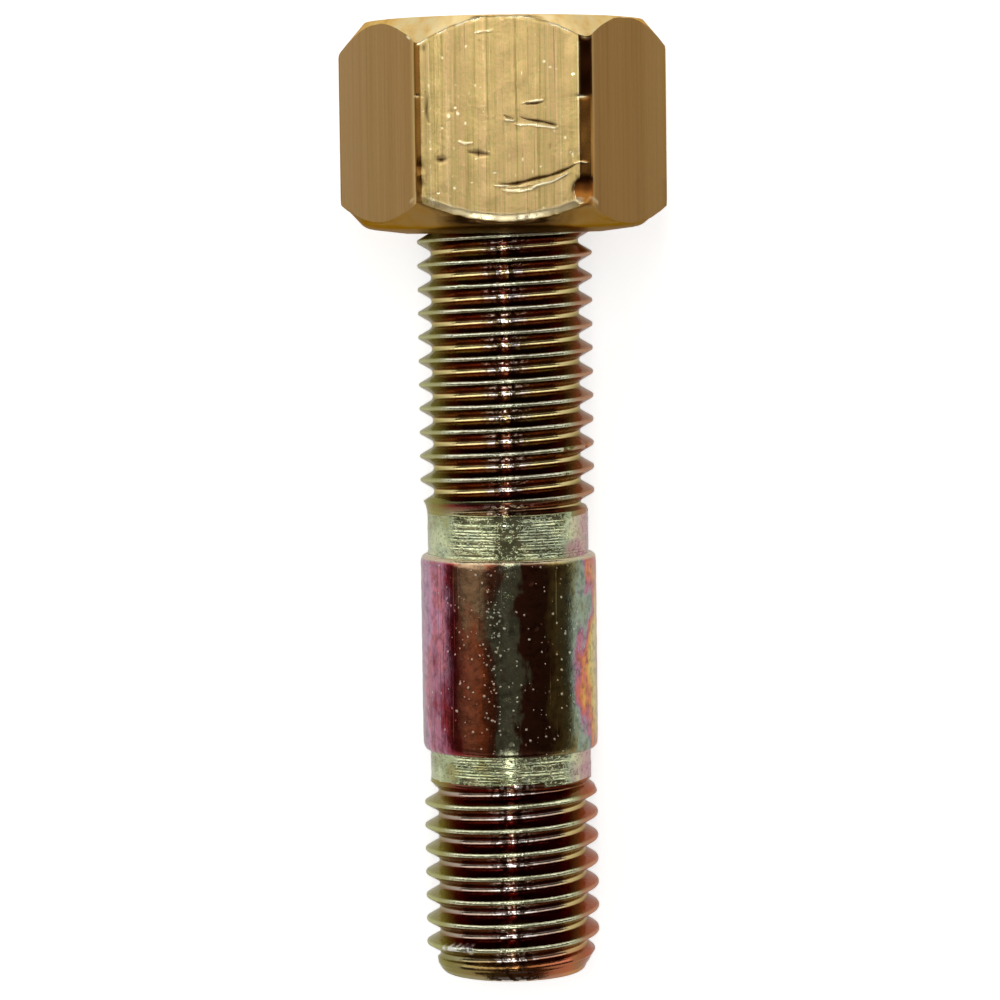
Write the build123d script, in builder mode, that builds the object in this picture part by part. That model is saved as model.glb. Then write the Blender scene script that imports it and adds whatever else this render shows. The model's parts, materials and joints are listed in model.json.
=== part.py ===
"""Cylinder head stud with its brass nut: 5/16 in, 24 threads to the inch, lying as it comes to rest.

The stud is one piece of plated steel: a threaded tip, a plain locating collar between two necks,
and a long upper thread that carries the nut.  The nut is cut from brass hexagon bar.  The pair lies
on one flat of the nut and on the tip's first full thread, so the axis leans by a few degrees.

The threaded lengths and the nut's bore are drawn plain, at the diameter of the thread's crests.

Millimetres.  +Z is up, +Y runs from the tip to the nut, +X goes across.  The origin is the centre
of the footprint.  Heights along the stud are measured from the tip's end face.
"""

import os
from math import atan2, cos, degrees, radians, sin, tan

from build123d import *

# Thread of the stud
THREAD_PITCH = 25.4 / 24
THREAD_DIAMETER = 7.80
RUNOUT_TURNS = 0.60
POINT_DEPTH = 0.70
POINT_HALF_ANGLE = 30.0

# Stud, from the tip upwards
TIP_THREAD_LENGTH = 8.60
LOWER_NECK_LENGTH = 1.45
COLLAR_LENGTH = 8.75
UPPER_NECK_LENGTH = 2.05
UPPER_THREAD_LENGTH = 21.30
COLLAR_STEP = 0.03
COLLAR_EDGE_BREAK = 0.20
NECK_DEPTH = 0.29

# Nut
ACROSS_FLATS = 12.70
BAR_CORNER_RADIUS = 0.40
NUT_HEIGHT = 9.30
NUT_OVERHANG = 0.25
TOP_FACE_SETBACK = 0.05
SEAT_SETBACK = 0.22
CORNER_CHAMFER_ANGLE = 45.0
SEAT_CONE_ANGLE = 7.0
SEAT_EDGE_RADIUS = 0.80
THREAD_CLEARANCE = 0.06
BORE_COUNTERSINK = 0.35

# Heights of the shoulders above the tip's end face; the nut's outer end stands just past the stud's
collar_base = TIP_THREAD_LENGTH + LOWER_NECK_LENGTH
collar_top = collar_base + COLLAR_LENGTH
upper_thread_base = collar_top + UPPER_NECK_LENGTH
stud_top = upper_thread_base + UPPER_THREAD_LENGTH
nut_top = stud_top + NUT_OVERHANG
nut_seat = nut_top - NUT_HEIGHT
thread_runout = RUNOUT_TURNS * THREAD_PITCH

# Radii; the necks and the collar are turned to suit the thread between them
thread_radius = THREAD_DIAMETER / 2
point_radius = thread_radius - POINT_DEPTH
point_length = POINT_DEPTH / tan(radians(POINT_HALF_ANGLE))
neck_radius = thread_radius - NECK_DEPTH
collar_radius = thread_radius + COLLAR_STEP
collar_edge_radius = collar_radius - COLLAR_EDGE_BREAK
flat_radius = ACROSS_FLATS / 2
corner_radius = flat_radius / cos(radians(30))
top_face_radius = flat_radius - TOP_FACE_SETBACK
seat_radius = flat_radius - SEAT_SETBACK
bore_radius = thread_radius + THREAD_CLEARANCE
mouth_radius = bore_radius + BORE_COUNTERSINK

# Nut ends: the seat is a shallow cone down to the bore, and both ends are chamfered at the corners
seat_rise = tan(radians(SEAT_CONE_ANGLE))
chamfer_rise = tan(radians(CORNER_CHAMFER_ANGLE))
seat_edge = nut_seat + (seat_radius - mouth_radius) * seat_rise
lower_chamfer_end = seat_edge + (corner_radius - seat_radius) * chamfer_rise
upper_chamfer_end = nut_top - (corner_radius - top_face_radius) * chamfer_rise
flat_start = seat_edge + SEAT_SETBACK * chamfer_rise

# Lying pose: the axis leans until the nut's lower flat and the tip's first full thread both touch
# the ground
lean = atan2(flat_radius - thread_radius, flat_start - point_length)
along = Vector(0, cos(lean), sin(lean))
upward = Vector(0, -sin(lean), cos(lean))
front_edge = -point_radius * sin(lean)
back_edge = nut_top * cos(lean) + top_face_radius * sin(lean)
tip_height = flat_radius * cos(lean) - flat_start * sin(lean)
tip = Vector(0, -(front_edge + back_edge) / 2, tip_height)

stud_axis = Axis(tip, along)
half_section = Plane(origin=tip, x_dir=upward, z_dir=(-1, 0, 0))
seat_plane = Plane(origin=tip + along * nut_seat, x_dir=(1, 0, 0), z_dir=along)

# Stud: one turned and rolled bar, drawn as half its section and turned about the axis
with BuildPart() as stud:
    with BuildSketch(half_section):
        with BuildLine():
            Polyline(
                (0, 0),
                (point_radius, 0),
                (thread_radius, point_length),
                (thread_radius, TIP_THREAD_LENGTH - thread_runout),
                (neck_radius, TIP_THREAD_LENGTH),
                (neck_radius, collar_base),
                (collar_edge_radius, collar_base),
                (collar_radius, collar_base + COLLAR_EDGE_BREAK),
                (collar_radius, collar_top - COLLAR_EDGE_BREAK),
                (collar_edge_radius, collar_top),
                (neck_radius, collar_top),
                (neck_radius, upper_thread_base),
                (thread_radius, upper_thread_base + thread_runout),
                (thread_radius, stud_top - point_length),
                (point_radius, stud_top),
                (0, stud_top),
                close=True,
            )
        make_face()
    revolve(axis=stud_axis)

# Nut: hexagon bar with its drawn corners, trimmed by a turned outline that chamfers both ends,
# domes the seat and opens the bore
with BuildPart() as nut:
    with BuildSketch(seat_plane):
        RegularPolygon(radius=flat_radius, side_count=6, major_radius=False)
    extrude(amount=NUT_HEIGHT)
    bar_corners = nut.edges().filter_by(stud_axis)
    fillet(bar_corners, radius=BAR_CORNER_RADIUS)
    with BuildSketch(half_section) as turned_outline:
        with BuildLine():
            Polyline(
                (bore_radius, nut_seat + BORE_COUNTERSINK),
                (mouth_radius, nut_seat),
                (seat_radius, seat_edge),
                (corner_radius, lower_chamfer_end),
                (corner_radius, upper_chamfer_end),
                (top_face_radius, nut_top),
                (mouth_radius, nut_top),
                (bore_radius, nut_top - BORE_COUNTERSINK),
                close=True,
            )
        make_face()
        seat_corner = turned_outline.vertices().sort_by_distance((seat_radius, seat_edge))[0]
        fillet(seat_corner, radius=SEAT_EDGE_RADIUS)
    revolve(axis=stud_axis, mode=Mode.INTERSECT)

stud.part.label = "stud"
nut.part.label = "nut"

os.makedirs("parts", exist_ok=True)
export_step(stud.part, "parts/stud.step")
export_step(nut.part, "parts/nut.step")

print(f"lean {degrees(lean):.3f} degrees, tip centre y {tip.Y:.4f} z {tip.Z:.4f}")
print(f"collar {collar_base:.3f} to {collar_top:.3f}, nut {nut_seat:.3f} to {nut_top:.3f}")
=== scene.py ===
"""Cylinder head stud and nut, 5/16 in by 24 threads to the inch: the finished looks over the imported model.

The stud is one turned and rolled bar of steel, zinc plated and passivated to an iridescent yellow.
The nut is cut from drawn brass hexagon bar.  Both are rebuilt here with their real threads, tool
marks, knocks and finishes, each from the sizes that its CAD solid has.

Lengths in the sections are millimetres, and heights are measured along the stud from its tip.
"""

import json
import math

import bmesh
import bpy
import numpy as np
from mathutils import Matrix, Vector


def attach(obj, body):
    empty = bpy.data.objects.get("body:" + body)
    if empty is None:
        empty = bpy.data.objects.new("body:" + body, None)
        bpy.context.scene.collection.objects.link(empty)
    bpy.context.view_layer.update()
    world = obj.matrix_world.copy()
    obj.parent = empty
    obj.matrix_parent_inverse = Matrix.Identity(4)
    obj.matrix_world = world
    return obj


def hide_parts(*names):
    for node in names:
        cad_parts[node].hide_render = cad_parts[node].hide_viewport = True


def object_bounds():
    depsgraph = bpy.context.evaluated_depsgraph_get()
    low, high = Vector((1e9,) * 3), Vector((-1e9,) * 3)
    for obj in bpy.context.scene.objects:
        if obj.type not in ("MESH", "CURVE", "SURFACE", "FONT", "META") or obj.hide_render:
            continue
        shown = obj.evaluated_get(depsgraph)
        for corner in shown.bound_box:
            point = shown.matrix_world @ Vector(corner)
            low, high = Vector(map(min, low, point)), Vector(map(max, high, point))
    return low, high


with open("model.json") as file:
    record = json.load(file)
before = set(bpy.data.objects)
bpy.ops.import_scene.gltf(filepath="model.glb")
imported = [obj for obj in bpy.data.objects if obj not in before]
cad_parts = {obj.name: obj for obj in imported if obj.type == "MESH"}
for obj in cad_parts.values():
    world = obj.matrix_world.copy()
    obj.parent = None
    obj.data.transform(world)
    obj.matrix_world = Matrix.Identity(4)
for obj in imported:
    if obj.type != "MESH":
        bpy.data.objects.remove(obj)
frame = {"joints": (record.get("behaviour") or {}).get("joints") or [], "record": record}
cad_low, cad_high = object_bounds()

# ==================================================================================================
# Stud.  One steel bar, turned to the collar and the two necks, then thread rolled at both ends and
# zinc plated with a yellow chromate.  The tip thread goes into the cylinder block, the collar
# locates in the bore above it, and the long thread carries the nut.
# ==================================================================================================

# Sizes as the solid has them.  MID_COLLAR only tells the tip's half of the bar from the nut's half,
# and COLUMNS is the number of steps round it.
MM = 0.001
SEAT_HEIGHT = 33.10
STUD_LENGTH = 42.15
TIP_THREAD_END = 8.60
COLLAR_BASE = 10.05
COLLAR_TOP = 18.80
UPPER_THREAD_START = 20.85
MID_COLLAR = 15.0
PITCH = 25.4 / 24
CREST_RADIUS = 3.90
NECK_RADIUS = 3.61
COLLAR_RADIUS = 3.93
POINT_RADIUS = 3.20
POINT_LENGTH = 1.212
COLUMNS = 120

# The stud's own directions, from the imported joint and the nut's seat
travel = frame["joints"][0]
mounts = {mount["name"]: Vector(mount["pos_m"]) for mount in frame["record"]["mounts"]}
along = Vector(travel["axis"]).normalized()
across = Vector((1, 0, 0))
upward = across.cross(along)
tip = mounts["nut_seat"] - along * SEAT_HEIGHT * MM
lean = math.asin(along.z)


def linear(colour):
    """A colour written as sRGB hex, as the linear values that shaders take."""
    parts = [int(colour[i : i + 2], 16) / 255 for i in (1, 3, 5)]
    return [c / 12.92 if c <= 0.04045 else ((c + 0.055) / 1.055) ** 2.4 for c in parts] + [1.0]


def add(material, kind, inputs=None, output=0, **settings):
    """Adds a node with its settings and fills or links its inputs.

    Returns the output that is asked for, or all of them where output is None.
    """
    shader = material.node_tree.nodes.new("ShaderNode" + kind)
    for name, value in settings.items():
        if name == "stops":
            ramp = shader.color_ramp.elements
            while len(ramp) < len(value):
                ramp.new(1.0)
            for element, (place, colour) in zip(ramp, value):
                element.position = place
                element.color = linear(colour) if isinstance(colour, str) else [colour] * 3 + [1.0]
        else:
            setattr(shader, name, value)
    for name, value in (inputs or {}).items():
        if isinstance(value, bpy.types.NodeSocket):
            material.node_tree.links.new(value, shader.inputs[name])
        else:
            shader.inputs[name].default_value = value
    if output is None or not shader.outputs:
        return shader.outputs
    return shader.outputs[output]


def new_material(name):
    """An empty node material."""
    material = bpy.data.materials.new(name)
    material.use_nodes = True
    material.node_tree.nodes.clear()
    return material


def bar_millimetres(material):
    """Position in the stud's own frame, in millimetres: across, along from the tip, upward.

    A noise of scale 5 on it has features about 0.2 mm across.
    """
    place = add(material, "TexCoord", output="Object")
    return add(
        material,
        "Mapping",
        {"Vector": place, "Location": tip, "Rotation": (lean, 0, 0), "Scale": (MM, MM, MM)},
        vector_type="TEXTURE",
    )


def uneven(seed, *coordinates, waves=7, finest=3.0):
    """Seeded smooth unevenness between about -1 and 1, a sum of waves across the coordinates."""
    random = np.random.default_rng(seed)
    total = 0.0
    for _ in range(waves):
        phase = random.uniform(0, 2 * np.pi)
        for coordinate in coordinates:
            phase = phase + coordinate * random.uniform(-finest, finest)
        total = total + np.sin(phase)
    return total / np.sqrt(waves)


def turned_skin(name, heights, radii, angles, finishes, finish_rows, fields):
    """A closed skin round the stud's axis, from rows of heights and radii at each angle from the top.

    Each face takes one of the finishes, and the fields give each point values for the finishes.
    """
    x = radii * np.sin(angles)
    z = radii * np.cos(angles)
    points = np.stack([x, heights, z], axis=-1)
    to_row = np.array([across, along, upward])
    points = np.array(tip) + (points @ to_row) * MM
    rows, columns = heights.shape
    first = np.arange(rows - 1)[:, None] * columns + np.arange(columns - 1)[None, :]
    quads = np.stack([first, first + 1, first + columns + 1, first + columns], axis=-1)
    mesh = bpy.data.meshes.new(name)
    mesh.from_pydata(points.reshape(-1, 3).tolist(), [], quads.reshape(-1, 4).tolist())
    for finish in finishes:
        mesh.materials.append(finish)
    for field, values in fields.items():
        stored = mesh.attributes.new(field, "FLOAT", "POINT")
        each_point = np.broadcast_to(values, heights.shape)
        stored.data.foreach_set("value", each_point.astype(np.float32).ravel())
    each_face = np.broadcast_to(finish_rows, (rows - 1, columns - 1))
    mesh.polygons.foreach_set("material_index", each_face.astype(np.int32).ravel())
    shell = bmesh.new()
    shell.from_mesh(mesh)
    bmesh.ops.remove_doubles(shell, verts=shell.verts, dist=2e-7)
    bmesh.ops.dissolve_degenerate(shell, dist=1e-7, edges=shell.edges)
    for face in shell.faces:
        face.smooth = True
    shell.to_mesh(mesh)
    shell.free()
    piece = bpy.data.objects.new(name, mesh)
    bpy.context.scene.collection.objects.link(piece)
    return piece


# Thread form: distance from the middle of a crest against depth below it.  The crest is a narrow
# flat with rolled edges, the flanks stand at 60 degrees to the axis, and the root is round.
CREST_CURVE = 0.11
ROOT_CURVE = 0.19
crest_turn = np.radians([0, 25, 45, 60])
root_turn = np.radians([60, 45, 30, 15, 0])
crest_places = CREST_CURVE * np.sin(crest_turn)
crest_depths = CREST_CURVE * (1 - np.cos(crest_turn))
root_places = PITCH / 2 - ROOT_CURVE * np.sin(root_turn)
flank_run = root_places[0] - crest_places[-1]
flank_end = crest_depths[-1] + flank_run * math.tan(math.radians(60))
root_depths = flank_end + ROOT_CURVE * (np.cos(root_turn) - math.cos(math.radians(60)))
flank_shares = np.array([0.08, 0.92])
flank_places = crest_places[-1] + flank_shares * flank_run
flank_depths = crest_depths[-1] + flank_shares * (flank_end - crest_depths[-1])
form_places = np.concatenate([crest_places, flank_places, root_places])
form_depths = np.concatenate([crest_depths, flank_depths, root_depths])
row_places = np.concatenate([form_places, (PITCH - form_places[-2:0:-1])]) / PITCH


def helix_heights(low, high, crest_phase, angles, places=row_places):
    """Rows that follow the thread between two heights, one row for each place in the thread form."""
    turns = np.arange(math.floor(low / PITCH) - 3, math.ceil(high / PITCH) + 2)
    phases = (turns[:, None] + places[None, :]).ravel()
    heights = PITCH * (phases[:, None] + crest_phase + angles[None, :] / (2 * np.pi))
    reaches = (heights.max(axis=1) > low) & (heights.min(axis=1) < high)
    first, last = np.flatnonzero(reaches)[[0, -1]]
    return np.clip(heights[max(first - 1, 0) : last + 2], low, high)


def thread_depth(heights, angles, crest_phase):
    """Depth of the thread's groove below its crests."""
    phase = heights / PITCH - crest_phase - angles / (2 * np.pi)
    return np.interp(np.abs(phase - np.round(phase)) * PITCH, form_places, form_depths)


# Where each thread's crests cross the top line of the bar, in turns
TIP_CREST_PHASE = 0.45
UPPER_CREST_PHASE = 0.165

# Where the rows stop following each thread, and the heights over which its groove fades out
TIP_HELIX_END = 9.05
UPPER_HELIX_START = 20.40
TIP_FADE = (8.45, 8.95)
UPPER_FADE = (20.50, 21.00)

angles = np.linspace(0, 2 * np.pi, COLUMNS + 1)

# The bar as turned before rolling, as (height, radius): a flat end with a point, the thread's
# length, a neck, the collar with its worn edges, the other neck, and the same again
RUNOUT = 0.6 * PITCH
turned_heights, turned_radii = zip(
    (0, POINT_RADIUS - 0.05),
    (0.05, POINT_RADIUS + 0.02),
    (POINT_LENGTH, CREST_RADIUS),
    (TIP_THREAD_END - RUNOUT, CREST_RADIUS),
    (TIP_THREAD_END, NECK_RADIUS),
    (COLLAR_BASE, NECK_RADIUS),
    (COLLAR_BASE + 0.01, 3.74),
    (COLLAR_BASE + 0.05, 3.82),
    (COLLAR_BASE + 0.15, 3.885),
    (COLLAR_BASE + 0.31, 3.915),
    (COLLAR_BASE + 0.65, 3.925),
    (COLLAR_BASE + 1.95, COLLAR_RADIUS),
    (COLLAR_TOP - 0.9, COLLAR_RADIUS),
    (COLLAR_TOP - 0.35, 3.928),
    (COLLAR_TOP - 0.18, 3.915),
    (COLLAR_TOP - 0.07, 3.87),
    (COLLAR_TOP - 0.005, 3.78),
    (COLLAR_TOP, NECK_RADIUS),
    (UPPER_THREAD_START, NECK_RADIUS),
    (UPPER_THREAD_START + RUNOUT, CREST_RADIUS),
    (STUD_LENGTH - POINT_LENGTH, CREST_RADIUS),
    (STUD_LENGTH - 0.05, POINT_RADIUS + 0.02),
    (STUD_LENGTH, POINT_RADIUS - 0.05),
)

# Level rows over the necks and the collar: close enough on the necks for the turning tool's rings,
# and crowded together where the collar's edges are worn
RING_SPACING = 0.13
neck_rows = np.arange(TIP_HELIX_END, COLLAR_BASE, RING_SPACING / 6)
upper_neck_rows = np.arange(COLLAR_TOP, UPPER_HELIX_START, RING_SPACING / 6)
lower_edge_rows = COLLAR_BASE + np.array([0, 0.01, 0.03, 0.05, 0.09, 0.15, 0.23, 0.31, 0.45])
middle_rows = np.arange(COLLAR_BASE + 0.65, COLLAR_TOP - 0.5, 0.22)
upper_edge_rows = COLLAR_TOP - np.array([0.44, 0.35, 0.26, 0.18, 0.12, 0.07, 0.04, 0.005])
plain_rows = [neck_rows[1:], lower_edge_rows, middle_rows, upper_edge_rows, upper_neck_rows]
plain_rows = np.concatenate([*plain_rows, [UPPER_HELIX_START - 0.01]])
plain_rows = np.repeat(plain_rows[:, None], COLUMNS + 1, axis=1)

tip_rows = helix_heights(0, TIP_HELIX_END, TIP_CREST_PHASE, angles)
upper_rows = helix_heights(UPPER_HELIX_START, STUD_LENGTH, UPPER_CREST_PHASE, angles)
heights = np.concatenate([tip_rows, plain_rows, upper_rows])
around = np.broadcast_to(angles, heights.shape)

radii = np.interp(heights, turned_heights, turned_radii)
tip_cut = thread_depth(heights, around, TIP_CREST_PHASE) * np.interp(heights, TIP_FADE, [1, 0])
upper_cut = thread_depth(heights, around, UPPER_CREST_PHASE) * np.interp(heights, UPPER_FADE, [0, 1])
cut = np.where(heights < MID_COLLAR, tip_cut, upper_cut)
threaded = (heights < TIP_FADE[1]) | (heights > UPPER_FADE[0])
radii = np.where(threaded, np.minimum(radii, CREST_RADIUS - cut), radii)

# Rings left on the necks by the turning tool, each cut to its own depth, and almost none along the
# top of the upper neck
on_lower_neck = (heights > 8.70) & (heights < COLLAR_BASE)
on_upper_neck = (heights > 18.82) & (heights < 20.80)
ring = heights / RING_SPACING + 0.03 * uneven(3, np.sin(around), np.cos(around), heights * 2)
ring_depth = 0.014 * (1 + 0.9 * uneven(5, np.floor(ring) * 2.2, np.sin(around), np.cos(around)))
from_top = np.arctan2(np.sin(around), np.cos(around))
ring_depth *= 1 - 0.9 * (heights > MID_COLLAR) * np.exp(-((from_top / 0.17) ** 4))
ring_cut = np.clip(ring_depth, 0.001, 0.03) * np.abs(np.sin(np.pi * ring))
radii = radii - (on_lower_neck | on_upper_neck) * ring_cut


def distance_from(height, angle, size, radius):
    """Squared distance over the stud's skin from a place on it, in sizes, no more than 40."""
    sideways = (around - math.radians(angle) + np.pi) % (2 * np.pi) - np.pi
    return np.minimum(((heights - height) ** 2 + (sideways * radius) ** 2) / size**2, 40)


# Crests that have been knocked, each dent with its height, angle, size and depth
random = np.random.default_rng(11)
dents = [
    (1.36, -53, 0.16, 0.07), (1.41, -47, 0.14, 0.06), (1.44, -41, 0.16, 0.08),
    (1.45, -36, 0.13, 0.07), (1.40, -31, 0.20, 0.12), (20.7, 86, 0.16, 0.14),
    (23.60, 43, 0.13, 0.12), (23.68, 48, 0.10, 0.12), (23.62, 66, 0.13, 0.10),
]  # fmt: skip
for _ in range(90):
    thread = random.choice([0, 1], p=[0.3, 0.7])
    phase, low, high = [(TIP_CREST_PHASE, 0.8, 8), (UPPER_CREST_PHASE, 21.5, 41.5)][thread]
    turn = random.uniform(0, 1)
    height = (math.floor(random.uniform(low, high) / PITCH) + phase + turn) * PITCH
    dents.append((height, 360 * turn, random.uniform(0.05, 0.13), random.uniform(0.01, 0.05)))
for height, angle, size, depth in dents:
    near = np.exp(-distance_from(height, angle, size, CREST_RADIUS))
    radii = radii - depth * near * (radii > CREST_RADIUS - 0.3)

# Rolling leaves the crests a little uneven everywhere
roughness = 1 + uneven(8, np.sin(around) * 9, np.cos(around) * 9, heights * 9)
radii = radii - 0.006 * (cut < 0.03) * roughness

# Marks as (height, angle, size, shade): a dark pit and pale nodules on the collar, and a crest at the
# tip that was scraped bright
STUD_MARKS = [
    (15.66, 1, 0.20, 1.0), (10.68, 1, 0.10, -1.0), (15.80, 18, 0.12, -0.7), (17.72, 14, 0.12, -0.8),
    (13.82, 31, 0.10, -0.6), (13.22, 28, 0.10, -0.6),
    (1.36, -53, 0.14, -1.0), (1.41, -47, 0.17, -1.0), (1.45, -42, 0.14, -1.0), (1.47, -37, 0.16, -1.0),
    (1.42, -31, 0.22, -1.1),
]  # fmt: skip
stud_marks = np.zeros_like(radii)
for height, angle, size, shade in STUD_MARKS:
    stud_marks = stud_marks + shade * np.exp(-distance_from(height, angle, size, COLLAR_RADIUS))

# Which way each flank faces: 1 towards the nut's end, -1 towards the tip, 0 on crests and in roots
crest_phase = np.where(heights < MID_COLLAR, TIP_CREST_PHASE, UPPER_CREST_PHASE)
facing = np.clip(2.5 * np.sin(2 * np.pi * (heights / PITCH - crest_phase) - around), -1, 1)

# Flat end faces, closed to the axis
cap = np.array([0, 0.6, 1.6, 2.4, 2.9, POINT_RADIUS - 0.09])[:, None] * np.ones((1, COLUMNS + 1))
heights = np.concatenate([np.zeros_like(cap), heights, np.full_like(cap, STUD_LENGTH)])
radii = np.concatenate([cap, radii, cap[::-1]])
stud_marks = np.concatenate([np.zeros_like(cap), stud_marks, np.zeros_like(cap)])
facing = np.concatenate([np.zeros_like(cap), facing, np.zeros_like(cap)])

# Zinc plate with a yellow chromate on the rolled threads: bright metal under a film whose colour
# turns with its thickness, so crests are pale green, flanks dark red and the roots brass yellow.
# The flanks that face the nut are painted nearly black as shade, and the top carries painted glints.
thread_finish = new_material("chromated_rolled_thread")
place = bar_millimetres(thread_finish)
xyz = add(thread_finish, "SeparateXYZ", {"Vector": place}, output=None)
flat_place = add(thread_finish, "CombineXYZ", {"X": xyz["X"], "Z": xyz["Z"]})
radius = add(thread_finish, "VectorMath", {0: flat_place}, output="Value", operation="LENGTH")
depth = add(thread_finish, "MapRange", {"Value": radius, "From Min": CREST_RADIUS, "From Max": 3.25})
in_root = add(thread_finish, "MapRange", {"Value": depth, "From Min": 0.86, "From Max": 0.92})
sides = add(thread_finish, "Math", {0: xyz["X"]}, operation="ABSOLUTE")
from_left = add(thread_finish, "MapRange", {"Value": xyz["X"], "From Min": -3.9, "From Max": 3.9})

# Colour from crest to root on the flanks that face the tip and on those that face the nut, which
# are painted darker as shade, with patches of thicker film some 2.4 mm across
tip_side = add(thread_finish, "ValToRGB", {"Fac": depth}, stops=[
    (0.0, "#F0F4DE"), (0.04, "#D2D8B0"), (0.09, "#705C3A"), (0.22, "#73262C"), (0.59, "#782230"),
    (0.84, "#782430"), (0.90, "#B88254"), (0.93, "#F1E2A0"), (1.0, "#F6E8B0")])  # fmt: skip
shaded_nut_side = add(thread_finish, "ValToRGB", {"Fac": depth}, stops=[
    (0.0, "#F0F4DE"), (0.07, "#D2DAB4"), (0.11, "#788862"), (0.16, "#3A4830"), (0.30, "#302A26"),
    (0.60, "#381A1E"), (0.84, "#401C1E"), (0.90, "#A87A48"), (0.93, "#F1E2A0"),
    (1.0, "#F6E8B0")])  # fmt: skip
faces_nut = add(thread_finish, "Attribute", output="Fac", attribute_name="facing")
faces_nut = add(thread_finish, "MapRange", {"Value": faces_nut, "From Min": -0.6, "From Max": 0.6})
by_depth = add(
    thread_finish, "Mix", {"Factor": faces_nut, 6: tip_side, 7: shaded_nut_side}, output=2, data_type="RGBA"
)
patches = add(
    thread_finish,
    "TexNoise",
    {"Vector": place, "Scale": 0.42, "Detail": 3.0, "Roughness": 0.6},
    output="Fac",
)
film = add(thread_finish, "ValToRGB", {"Fac": patches}, stops=[
    (0.30, "#5F8C42"), (0.42, "#94883C"), (0.50, "#984E2C"), (0.58, "#963A2C"), (0.68, "#8E3C50"),
    (0.80, "#6E8A44")])  # fmt: skip
tinted = add(thread_finish, "Mix", {"Factor": 0.16, 6: by_depth, 7: film}, output=2, data_type="RGBA")

# Towards both sides the flanks that face the nut are greener, and the film is paler where the
# threads run out at the necks
on_side = add(thread_finish, "MapRange", {"Value": sides, "From Min": 2.4, "From Max": 3.1, "To Max": 0.45})
on_side = add(thread_finish, "Math", {0: on_side, 1: faces_nut}, operation="MULTIPLY")
runs_out = add(thread_finish, "Math", {0: xyz["Y"], 1: 14.80}, operation="SUBTRACT")
runs_out = add(thread_finish, "Math", {0: runs_out}, operation="ABSOLUTE")
runs_out = add(
    thread_finish, "MapRange", {"Value": runs_out, "From Min": 6.35, "From Max": 5.95, "To Max": 0.8}
)

# The tip thread is redder with greyer roots, gilded on the right, and paler at its pointed end
on_tip = add(thread_finish, "MapRange", {"Value": xyz["Y"], "From Min": 9.6, "From Max": 8.6})
on_tip = add(thread_finish, "Math", {0: on_tip, 1: 0.85}, operation="MULTIPLY")
tip_film = add(thread_finish, "ValToRGB", {"Fac": depth}, stops=[
    (0.0, "#ECEECB"), (0.09, "#C4CA9C"), (0.14, "#5C6A42"), (0.22, "#6A2A22"), (0.84, "#78221E"),
    (0.90, "#94625A"), (0.94, "#A89894"), (1.0, "#C2BABA")])  # fmt: skip
gilded = add(
    thread_finish, "MapRange", {"Value": xyz["X"], "From Min": 1.8, "From Max": 2.6, "To Max": 0.8}
)
gilded = add(thread_finish, "Math", {0: gilded, 1: in_root}, operation="MULTIPLY")
tip_film = add(
    thread_finish, "Mix", {"Factor": gilded, 6: tip_film, 7: linear("#E6D084")}, output=2, data_type="RGBA"
)
blunt = add(
    thread_finish, "MapRange", {"Value": xyz["Y"], "From Min": 1.4, "From Max": 0.9, "To Max": 0.75}
)
blunt_film = add(thread_finish, "ValToRGB", {"Fac": from_left}, stops=[
    (0.10, "#9A9E66"), (0.36, "#96804A"), (0.60, "#9A6438"), (0.90, "#DE8060")])  # fmt: skip

# Painted glints: white beads about 0.2 mm long in a band along the top, in the roots and half way
# down the flanks that face the tip, with painted shade on the dark metal between them
specks = add(thread_finish, "TexNoise", {"Vector": place, "Scale": 4.5, "Detail": 1.0}, output="Fac")
specks = add(thread_finish, "MapRange", {"Value": specks, "From Min": 0.46, "From Max": 0.53})
on_top = add(thread_finish, "MapRange", {"Value": sides, "From Min": 1.2, "From Max": 0.6})
uppermost = add(thread_finish, "MapRange", {"Value": xyz["Z"], "From Min": 2.0, "From Max": 2.6})
on_top = add(thread_finish, "Math", {0: on_top, 1: uppermost}, operation="MULTIPLY")
off_end_face = add(thread_finish, "MapRange", {"Value": radius, "From Min": 3.15, "From Max": 3.22})
on_top = add(thread_finish, "Math", {0: on_top, 1: off_end_face}, operation="MULTIPLY")
between = add(thread_finish, "Math", {0: specks, 1: -0.6, 2: 0.6}, operation="MULTIPLY_ADD")
between = add(thread_finish, "Math", {0: between, 1: on_top}, operation="MULTIPLY")
below_crest = add(thread_finish, "MapRange", {"Value": depth, "From Min": 0.12, "From Max": 0.22})
between = add(thread_finish, "Math", {0: between, 1: below_crest}, operation="MULTIPLY")
half_way = add(thread_finish, "ValToRGB", {"Fac": depth}, stops=[
    (0.16, 0.0), (0.28, 0.8), (0.62, 0.8), (0.72, 0.0)])  # fmt: skip
half_way = add(
    thread_finish, "Mix", {"Factor": faces_nut, 6: half_way, 7: (0, 0, 0, 1)}, output=2, data_type="RGBA"
)
half_way = add(thread_finish, "Math", {0: half_way, 1: in_root}, operation="MAXIMUM")
painted_glints = add(thread_finish, "Math", {0: specks, 1: on_top}, operation="MULTIPLY")
painted_glints = add(thread_finish, "Math", {0: painted_glints, 1: half_way}, operation="MULTIPLY")

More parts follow.
